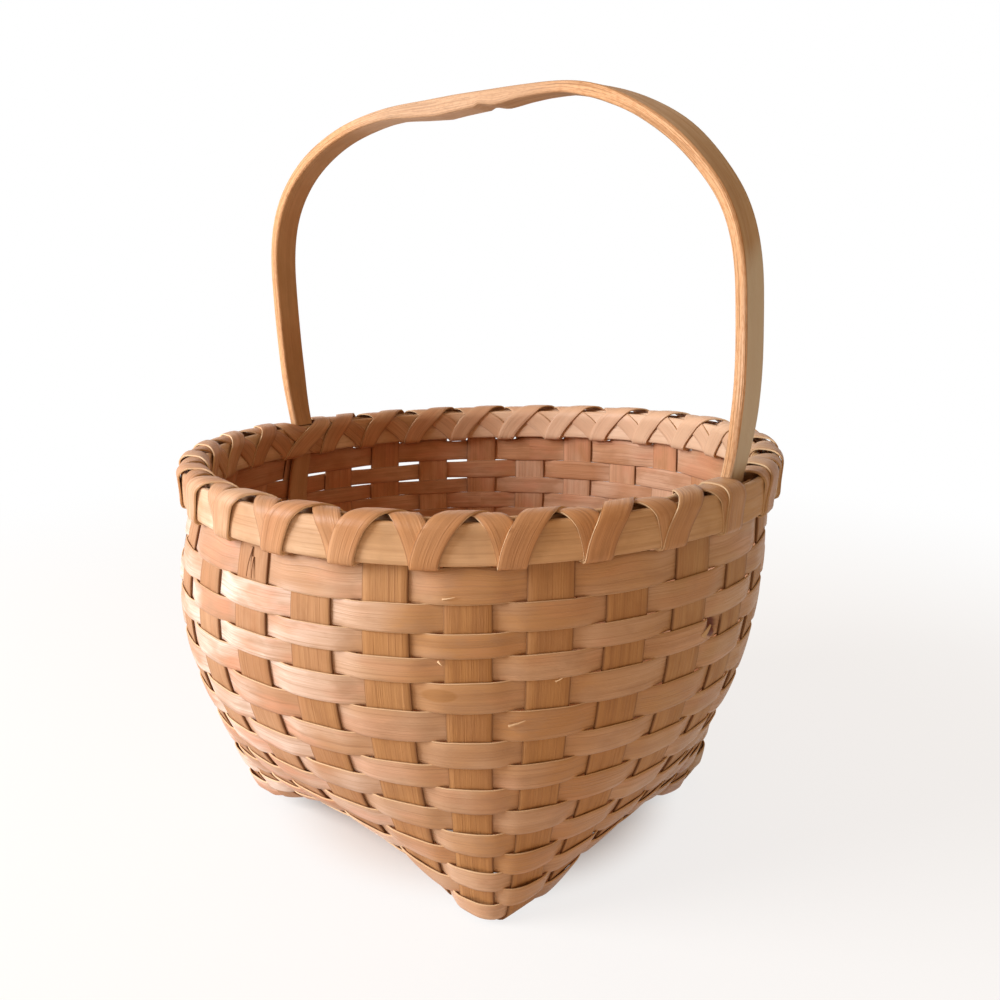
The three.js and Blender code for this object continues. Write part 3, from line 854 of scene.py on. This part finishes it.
def upright_give(height, station):
    centres = [(a + b) / 2 for a, b in zip(ROW_EDGES, ROW_EDGES[1:])] + [sum(RIM_ROW) / 2]
    ways = [1 if (round(station) + row) % 2 == 0 else -1 for row in range(len(centres))]
    if height <= centres[0]:
        return -UPRIGHT_GIVE * ways[0] * clamp(height / centres[0])
    for row in range(len(centres) - 1):
        if height < centres[row + 1]:
            share = (height - centres[row]) / (centres[row + 1] - centres[row])
            turned = (1 - math.cos(math.pi * share)) / 2
            return -UPRIGHT_GIVE * lerp(ways[row], ways[row + 1], turned)
    return -UPRIGHT_GIVE * ways[-1]


def wall_line(station, height, hand, across):
    reach = STAKE_WIDTH / 2 / pitch_at(height)
    first, second = wall_point(station - reach, height), wall_point(station + reach, height)
    normal = wall_normal(station, height)
    side = upright_give(height, station) + STAKE_CROWN * (1 - (2 * across - 1) ** 2)
    return first.lerp(second, across if hand > 0 else 1 - across) + normal * side


def base_line(lane, along_x, far, across):
    near = lane * BASE_PITCH + (across - 0.5) * STAKE_WIDTH
    crossed = clamp(round(far / BASE_PITCH), -3, 3)
    lower = (1 if (lane + crossed) % 2 == 0 else -1) * (1 if along_x else -1)
    distance = far - crossed * BASE_PITCH
    wave = BASE_WAVE * over_and_under(distance, BASE_PITCH, BASE_FLAT)
    wave += BASE_BULGE * math.cos(math.pi * distance / BASE_PITCH)
    x, y = (far, near) if along_x else (near, far)
    return Vector((x, y, BASE_LEVEL + base_height(x, y) - lower * wave))


def evened(rows, start, end, passes):
    for _ in range(passes):
        before = [[point.copy() for point in row] for row in rows]
        for i in range(start, end):
            for j in range(len(rows[i])):
                rows[i][j] = (before[i - 1][j] + 2 * before[i][j] + before[i + 1][j]) / 4


def upright(lane, along_x, name):
    start = lane if along_x else SIDE_STAKES - lane
    end = 2 * SIDE_STAKES - lane if along_x else 3 * SIDE_STAKES + lane
    across = [j / ACROSS for j in range(ACROSS + 1)]
    wall_steps = round(STAKE_END / STEP)
    base_steps = round(2 * BASE_HALF / STEP)
    heights = [STAKE_END * i / wall_steps for i in range(wall_steps + 1)]
    hand = 1 if along_x else -1
    rows = [[wall_line(start, h, hand, v) for v in across] for h in reversed(heights)]
    fars = [BASE_HALF * (1 - 2 * i / base_steps) for i in range(1, base_steps)]
    rows += [[base_line(lane, along_x, far, v) for v in across] for far in fars]
    rows += [[wall_line(end, h, -hand, v) for v in across] for h in heights]
    second_fold = len(rows) - wall_steps
    evened(rows, wall_steps - FOLD_IN_WALL, wall_steps + FOLD_IN_BASE, FOLD_PASSES)
    evened(rows, second_fold - FOLD_IN_BASE, second_fold + FOLD_IN_WALL, FOLD_PASSES)
    last = len(rows) - 1
    seed = 7.3 * lane + (40 if along_x else 0)

    def place(u, v):
        row, j = rows[round(u * last)], round(v * ACROSS)
        out = (row[ACROSS] - row[0]).normalized()
        edge = 0 if 0 < j < ACROSS else (1 if v > 0.5 else -1)
        ripple = noise.noise(Vector((u * RIPPLES, seed + edge * 3, 0)))
        return row[j] + out * edge * EDGE_RIPPLE * ripple

    strip = bent_grid(name, last, ACROSS, place, last * STEP, STAKE_WIDTH, map_shift())
    loose = [splinter(upright_wood, *where) for where in SPLINTERS.get(name, ())]
    thickness = STAKE_THICKNESS - STRIP_THINNER
    outside_first = (upright_wood, inner_shade_wood) if along_x else (inner_shade_wood, upright_wood)
    woods = outside_first + (upright_wood,)
    return finish_strip(strip, thickness, woods, (name,), loose)


for number in range(1, SIDE_STAKES + 1):
    upright(number - 4, True, f"stake_x_{number}")
    faces = upright(number - 4, False, f"stake_y_{number}")
print("uprights:", 2 * SIDE_STAKES, "faces in the last:", faces)

# %% [markdown]
# ## Going round a bar
# The hoops, the handle and the lashings all need a path round a bar with rounded corners. This
# helper gives the place at a distance round such a bar, starting at its lower right corner and
# going up. The lower corners and the upper ones can have different radii.

# %% Path round a rounded bar
def round_bar(travel, width, height, low_radius, high_radius):
    sides = (height, width, height, width)
    starts = (low_radius, high_radius, high_radius, low_radius)
    ends = (high_radius, high_radius, low_radius, low_radius)
    corners = ((width, 0), (width, height), (0, height), (0, 0))
    ways = ((0, 1), (-1, 0), (0, -1), (1, 0))
    travel %= 2 * (width + height)
    side = 0
    while travel > sides[side]:
        travel -= sides[side]
        side += 1
    run, out = ways[side], ways[(side + 3) % 4]
    left = sides[side] - travel
    start, end = starts[side], ends[side]
    if travel < start:
        bend = (1 - travel / start) * math.pi / 4
        along, lift = start * (1 - math.sin(bend)), start * (math.cos(bend) - 1)
    elif left < end:
        bend = (1 - left / end) * math.pi / 4
        along, lift = sides[side] - end * (1 - math.sin(bend)), end * (math.cos(bend) - 1)
    else:
        along, lift = travel, 0
    corner = corners[side]
    return corner[0] + run[0] * along + out[0] * lift, corner[1] + run[1] * along + out[1] * lift


def bar_steps(width, height, radius, flats):
    steps = []
    reached = 0
    for side, count in zip((height, width, height, width), flats):
        steps += [reached, reached + radius / 2]
        inner = side - 2 * radius
        steps += [reached + radius + inner * i / count for i in range(count + 1)]
        steps.append(reached + side - radius / 2)
        reached += side
    return steps + [reached]


print("half way round a bar of 10 by 20 mm:", [round(c, 2) for c in round_bar(30, 10, 20, 2, 2)])

# %% [markdown]
# ## Hoops
# Two bent hoops hold the wall between them. They are shaved strips, flat towards the wall and
# slightly rounded on the side that shows. The inner one gives way inwards where the ends of the
# handle pass behind it.

# %% Hoops
HOOP_ROUND = 1.2
HOOP_CROWN = 0.35
HOOP_JOINT = 4.5
HOOP_ALONG = 8


def inner_hoop_outside(station):
    half = STAKES / 2
    near = min(1, abs(station - round(station / half) * half) / BULGE_STATIONS)
    return INNER_HOOP_OUTSIDE - HOOP_BULGE / 2 * (1 + math.cos(near * math.pi))


def polar(radius, station, z):
    return Vector((radius * math.cos(station * TURN), radius * math.sin(station * TURN), z))


def hoop(name, inside_at, shown_way):
    height = HOOP_TOP - HOOP_BOTTOM
    steps = bar_steps(HOOP_THICKNESS, height, HOOP_ROUND, (7, 1, 7, 1))

    def place(u, v):
        station = HOOP_JOINT + u * STAKES
        travel = steps[round(v * (len(steps) - 1))]
        x, z = round_bar(travel, HOOP_THICKNESS, height, HOOP_ROUND, HOOP_ROUND)
        crown = HOOP_CROWN * (1 - (2 * z / height - 1) ** 2)
        shown = x > HOOP_THICKNESS / 2 if shown_way > 0 else x < HOOP_THICKNESS / 2
        radius = inside_at(station) + x + (shown_way * crown if shown else 0)
        return polar(radius, station, HOOP_BOTTOM + z)

    strip = bent_grid(
        name, STAKES * HOOP_ALONG, len(steps) - 1, place, STAKES * TURN * RIM_RADIUS, steps[-1],
        map_shift(), ("ends", "sides"))
    return finish_strip(strip, 0, (hoop_wood,), (name,))


hoop("outer_hoop", lambda station: OUTER_HOOP_INSIDE, 1)
faces = hoop("inner_hoop", lambda station: inner_hoop_outside(station) - HOOP_THICKNESS, -1)
print("faces in a hoop:", faces)

# %% [markdown]
# ## Lashings
# Each lashing is one long thin splint that winds round both hoops and passes through the wall
# between two uprights. It comes out nearly upright, leans a little on its way up, arches over the
# rim and leans more on the way down inside. Its middle line is laid out on the unrolled skin of
# the rim and its edges are set off square to it, which keeps its width true while it leans. The
# second lashing leans the other way and lies over the first. Beside the handle both pass
# straight over the hoops.

# %% Lashings
LASHING_WIDTH = 10.8
LASHING_THICKNESS = 0.8
LASHING_SWAY = (0.12, 0.22)
LASHING_CREST = (0.24, 0.37)
LASHING_SWAY_AT_HANDLE = 0.03
LASHING_TURN = 1.6
LASHING_REST = 0.47
LASHING_LIFT = 0.8
LASHING_STAND_OFF, LASHING_STAND_UP = 0.8, 0.48
LASHING_ARCH, LASHING_CROWN = 1.0, 0.2
LASHING_HOP, LASHING_WANDER = 0.035, 0.07
LASHING_LOW_ROUND = (1.7, 2.5)
LASHING_HIGH_ROUND = 4.6
LASHING_STEPS = 40
LASHING_PASSES = 5


def lashing(lean, layer, name):
    rest = LASHING_REST + layer * LASHING_LIFT
    outer = OUTER_HOOP_INSIDE + HOOP_THICKNESS + rest
    low, high = HOOP_BOTTOM - rest, HOOP_TOP + rest
    height = high - low
    hop = random.Random(5 + layer)

    def depth_at(station):
        return outer - (inner_hoop_outside(station) - HOOP_THICKNESS - rest)

    line = []
    for turn in range(STAKES):
        start = lean * (turn + 0.5)
        beside_handle = (turn + 1) % (STAKES // 2) == 0
        shift = 0 if beside_handle else hop.uniform(-LASHING_HOP, LASHING_HOP)
        sway = LASHING_SWAY_AT_HANDLE if beside_handle else LASHING_SWAY[layer]
        outer_top = start + lean * (sway + shift)
        crest = start + lean * (LASHING_CREST[layer] + shift)
        inner_top = outer_top if beside_handle else 2 * crest - outer_top
        depth = depth_at(outer_top)
        around = 2 * (height + depth)
        turn_in = 1 if beside_handle else LASHING_TURN
        for i in range(LASHING_STEPS):
            travel = around * i / LASHING_STEPS
            up_outside = clamp(travel / height) ** LASHING_TURN
            over_top = clamp((travel - height) / depth)
            down_inside = 1 - (1 - clamp((travel - height - depth) / height)) ** turn_in
            station = lerp(start, outer_top, up_outside) + (inner_top - outer_top) * over_top
            station += (start + lean - inner_top) * down_inside
            line.append([travel, station, around])
    count = len(line)
    for _ in range(LASHING_PASSES):
        before = [station for _, station, _ in line]
        for i in range(count):
            past = before[i - 1] - (lean * STAKES if i == 0 else 0)
            coming = before[(i + 1) % count] + (lean * STAKES if i == count - 1 else 0)
            line[i][1] = (past + 2 * before[i] + coming) / 4

    def place(u, v):
        i = round(u * count)
        travel, station, around = line[i % count]
        span = RIM_RADIUS * TURN
        ahead_of = line[(i + 1) % count][1] - line[(i - 1) % count][1]
        ahead_of -= round(ahead_of / STAKES) * STAKES
        run, rise = ahead_of * span, 2 * around / LASHING_STEPS
        size = math.hypot(run, rise)
        wander = LASHING_WANDER * noise.noise(Vector((i % count * 0.05, layer * 9, 2)))
        wide = LASHING_WIDTH * (1 + wander)
        half = (v - 0.5) * wide
        here = station + half * rise / size / span
        depth = depth_at(here)
        travel -= half * run / size
        x, z = round_bar(travel, depth, height, LASHING_LOW_ROUND[layer], LASHING_HIGH_ROUND)
        ease = ramp(z / height, 0.25, 1)
        arch = LASHING_ARCH * math.sin(math.pi * clamp(x / depth))
        crown = LASHING_CROWN * (1 - (2 * v - 1) ** 2)
        x += LASHING_STAND_OFF * ease * (2 * x / depth - 1)
        z += ease * (LASHING_STAND_UP + arch + crown)
        return polar(outer - depth + x, here, low + z)

    length = sum(entry[2] for entry in line) / LASHING_STEPS
    strip = bent_grid(
        name, count, ACROSS, place, length, LASHING_WIDTH, map_shift(), ("ends",))
    woods = (lashing_wood, cut_wood)
    return finish_strip(strip, LASHING_THICKNESS, woods, (name,))


lashing(-1, 0, "lashing_under")
faces = lashing(1, 1, "lashing_over")
print("faces in a lashing:", faces)

# %% [markdown]
# ## The bow of the handle
# The bow is one shaved strip that was steamed and bent. It is thick where the hand holds it and
# thin where its ends are tucked down inside the wall, with a step that rests on the inner hoop.
# Its cross-section is a rounded bar, carried along the line of the bow. The right shoulder is a
# little higher than the left one and twisted, the grip sags a little, and a splinter has come
# off under it, which left a notch. The two narrow sides were split and not shaved, so they are
# paler and rough there, with fine dark lines where the layers of the wood come out. Hands have
# made the grip a little greyer and rubbed it pale from below, and the outer face of the right
# leg is painted greyish as painted sheen. The grip has its extra thickness listed at places along
# X, and the three lifts of the line each have a height, a middle along X and a reach.

# %% Bent ash of the handle
WORN_GRIP = ((-0.01, 0, 0.36), 1, 0.085, 0.04, 0.55, "#B09276")
RUBBED_GRIP = ((-0.035, 0, 0.352), 1, 0.055, 0.03, 0.6, "#E8CCB2")
SHEEN_LEG_STARTS, SHEEN_LEG_FULL = 0.146, 0.1488
NARROW_STARTS, NARROW_FULL = 0.0062, 0.0068
handle_wood = split_wood(
    "bent ash of the handle, shaved",
    ("#C29A72", "#B88B60", "#D0A880", "#C08E64", "#A8835A", "#9C7148", "#B08860", "#CCBDA2"),
    (0.5, 0.35, 0.3, 0.3, 0.35, 0.22), 0.68, marks=(RUBBED_GRIP,))
tree = handle_wood.node_tree
surface = next(node for node in tree.nodes if node.type == "BSDF_PRINCIPLED")
body_colour = surface.inputs["Base Color"].links[0].from_socket
strip_map = add_node(tree, "ShaderNodeUVMap", {"uv_map": "UVMap"}).outputs["UV"]
place_on = add_node(tree, "ShaderNodeTexCoord").outputs["Object"]
# Painted sheen: the outer face of the right leg is painted greyish.
sheen_leg = facing(tree, place_on, (1, 0, 0), SHEEN_LEG_STARTS, SHEEN_LEG_FULL)
body_colour = tint(tree, sheen_leg, 0.75, body_colour, "#D0CCBE")
sideways = add_node(tree, "ShaderNodeSeparateXYZ", None, {"Vector": place_on}).outputs["Y"]
from_middle = add_node(tree, "ShaderNodeMath", {"operation": "ABSOLUTE"}, {0: sideways}).outputs[0]
narrow_side = add_node(
    tree, "ShaderNodeMapRange", {"From Min": NARROW_STARTS, "From Max": NARROW_FULL},
    {"Value": from_middle})
layers = pattern(tree, strip_map, 60, 0.7, 3, 0.48, 0.62)
rough = pattern(tree, strip_map, 3.2, 1.1, 3, 0.46, 0.66)
cracks = pattern(tree, strip_map, 26, 0.8, 2, 0.66, 0.74)
colour = tint(tree, narrow_side.outputs["Result"], 0.75, body_colour, "#E4AE7C")
colour = tint(tree, rough, 0.5, colour, "#B87A48")
colour = tint(tree, layers, 0.6, colour, "#8A5A2C")
colour = tint(tree, cracks, 0.8, colour, SHADE_AND_CRACK_DARK)
colour = marked(tree, place_on, colour, WORN_GRIP)
sided = tint(tree, narrow_side.outputs["Result"], 1.0, body_colour, colour)
tree.links.new(sided, surface.inputs["Base Color"])
print("nodes in the wood of the handle:", len(tree.nodes))

# %% Bow
HANDLE_WIDTH = 13.6
HANDLE_THICKNESS = 5.6
HANDLE_HALF_SPAN = 150.4
HANDLE_TOP = 365.4
HANDLE_SHOULDER = 269.4
HANDLE_ROUNDNESS = 2.6
GRIP_EXTRA = [
    (-60, 0), (-50, 0.3), (-34, 2.0), (-18, 3.2), (-8, 2.5), (6, 1.9), (8.5, 1.8), (10.5, 0.5),
    (14, 1.3), (19, 2.2), (24, 1.8), (32, 0.8), (42, 0), (58, -0.7), (72, 0.3), (84, 0.5), (98, 0)]
TAIL_FACE = -2.1
TAIL_THICKNESS = 2.6
TAIL_TIP_THICKNESS = 1.6
NOTCH_FOOT, NOTCH_TOP, NOTCH_FULL = HOOP_TOP - 1.5, HOOP_TOP + 0.1, HOOP_TOP + 0.7
TAIL_STEPS, LEG_STEPS, SHOULDER_STEPS = 15, 22, 26
LEG_CURVE = 2.6
BOW_FLAT_FROM, BOW_FLAT_STEP = 110, 2.5
BOW_CORNER, BOW_ROUND, BOW_SHAVE = 0.1, 1.6, 0.18
WIDER_ABOVE_RIM = 1.6
WIDE_FROM, WIDE_FULL = 196, 225
TWIST, TWIST_CENTRE, TWIST_REACH = math.radians(-10), 116, 28
TWIST_FROM, TWIST_FULL = 215, 290
LEG_TWIST, LEG_TWIST_FROM, LEG_TWIST_FULL = math.radians(-5), 70, 120
SHOULDER_UP, GRIP_SAG, SHOULDER_IN = (3.2, 72, 34), (-1.0, -25, 35), (-1.6, 134, 15)
TOP_FROM, TOP_FULL = 290, 330


def grip_extra(x):
    for (x0, extra0), (x1, extra1) in zip(GRIP_EXTRA, GRIP_EXTRA[1:]):
        if x0 <= x < x1:
            return lerp(extra0, extra1, (x - x0) / (x1 - x0))
    return 0


def half_bow():
    line = []
    lowest = ROW_EDGES[11]
    for i in range(TAIL_STEPS + 1):
        height = lerp(lowest, NOTCH_FOOT - BASE_LEVEL, i / TAIL_STEPS)
        reach = STAKE_WIDTH / 2 / pitch_at(height)
        face = wall_point(-reach, height).lerp(wall_point(reach, height), 0.5)
        face += wall_normal(0, height) * TAIL_FACE
        share = clamp((height - lowest) / (WALL_HEIGHT - lowest))
        line.append((face.x, face.z, lerp(TAIL_TIP_THICKNESS, TAIL_THICKNESS, share)))
    foot_x, foot_z, _ = line[-1]

    def leg(z):
        below = (HANDLE_SHOULDER - z) / (HANDLE_SHOULDER - foot_z)
        return HANDLE_HALF_SPAN - (HANDLE_HALF_SPAN - foot_x) * below ** LEG_CURVE

    line.append((leg(NOTCH_TOP), NOTCH_TOP, TAIL_THICKNESS))
    levels = [NOTCH_FULL + i for i in range(4)]
    levels += [lerp(HOOP_TOP + 4, HANDLE_SHOULDER, i / LEG_STEPS) for i in range(1, LEG_STEPS)]
    line += [(leg(z), z, HANDLE_THICKNESS) for z in levels]
    last_angle = math.acos((BOW_FLAT_FROM / HANDLE_HALF_SPAN) ** (HANDLE_ROUNDNESS / 2))
    angles = [last_angle * i / SHOULDER_STEPS for i in range(SHOULDER_STEPS)]
    reach = [HANDLE_HALF_SPAN * math.cos(angle) ** (2 / HANDLE_ROUNDNESS) for angle in angles]
    flat_steps = round(BOW_FLAT_FROM / BOW_FLAT_STEP)
    reach += [BOW_FLAT_FROM * (1 - i / flat_steps) for i in range(flat_steps + 1)]
    for x in reach:
        up = max(0, 1 - (x / HANDLE_HALF_SPAN) ** HANDLE_ROUNDNESS) ** (1 / HANDLE_ROUNDNESS)
        line.append((x, lerp(HANDLE_SHOULDER, HANDLE_TOP, up), HANDLE_THICKNESS))
    return line


half = half_bow()
bow = half + [(-x, z, thick) for x, z, thick in reversed(half[:-1])]
bow_steps = bar_steps(1, 1, BOW_CORNER, (4, 7, 4, 7))
bow_length = sum(math.hypot(b[0] - a[0], b[1] - a[1]) for a, b in zip(bow, bow[1:]))
print("length of the bow, mm:", round(bow_length))


def bow_place(u, v):
    i = round(u * (len(bow) - 1))
    x, z, thick = bow[i]
    before, after = bow[max(0, i - 1)], bow[min(len(bow) - 1, i + 1)]
    run = Vector((after[0] - before[0], after[1] - before[1])).normalized()
    near_foot = HOOP_BOTTOM < z < HOOP_TOP + 1.5
    inward = Vector((-math.copysign(1, x), 0)) if near_foot else Vector((-run.y, run.x))
    thick += grip_extra(x) if z > HANDLE_SHOULDER else 0
    width = HANDLE_WIDTH + WIDER_ABOVE_RIM * ramp(z, WIDE_FROM, WIDE_FULL)
    share = bow_steps[round(v * (len(bow_steps) - 1))]
    side = math.floor(min(share, 3.9999))
    sizes = (thick, width, thick, width)
    radius = min(BOW_ROUND, thick * 0.4)
    travel = sum(sizes[:side])
    part = share - side
    if part < BOW_CORNER:
        travel += part / BOW_CORNER * radius
    elif part > 1 - BOW_CORNER:
        travel += sizes[side] - (1 - part) / BOW_CORNER * radius
    else:
        flat_share = (part - BOW_CORNER) / (1 - 2 * BOW_CORNER)
        travel += lerp(radius, sizes[side] - radius, flat_share)
    across, depth = round_bar(travel, width, thick, radius, radius)
    shave = BOW_SHAVE * noise.noise(Vector((i * 0.11, across * 0.08, 8)))
    depth += shave * (1 if depth > thick / 2 else -1)
    turn = TWIST * hump(x, TWIST_CENTRE, TWIST_REACH) * ramp(z, TWIST_FROM, TWIST_FULL)
    turn += LEG_TWIST * ramp(x, LEG_TWIST_FROM, LEG_TWIST_FULL) * ramp(z, WIDE_FROM, WIDE_FULL)
    top = ramp(z, TOP_FROM, TOP_FULL)
    for lift, centre, reach in (SHOULDER_UP, GRIP_SAG, SHOULDER_IN):
        z += lift * hump(x, centre, reach) * top
    aside, deep = across - width / 2, depth - thick / 2
    y = aside * math.cos(turn) - deep * math.sin(turn)
    depth = thick / 2 + aside * math.sin(turn) + deep * math.cos(turn)
    return Vector((x + inward.x * depth, y, z + inward.y * depth))


strip = bent_grid(
    "handle", len(bow) - 1, len(bow_steps) - 1, bow_place, bow_length,
    2 * (HANDLE_WIDTH + HANDLE_THICKNESS), (3.3, 1.7), ("sides", "ends filled"))
faces = finish_strip(strip, 0, (handle_wood,), ("handle",))
print("faces in the handle:", faces)
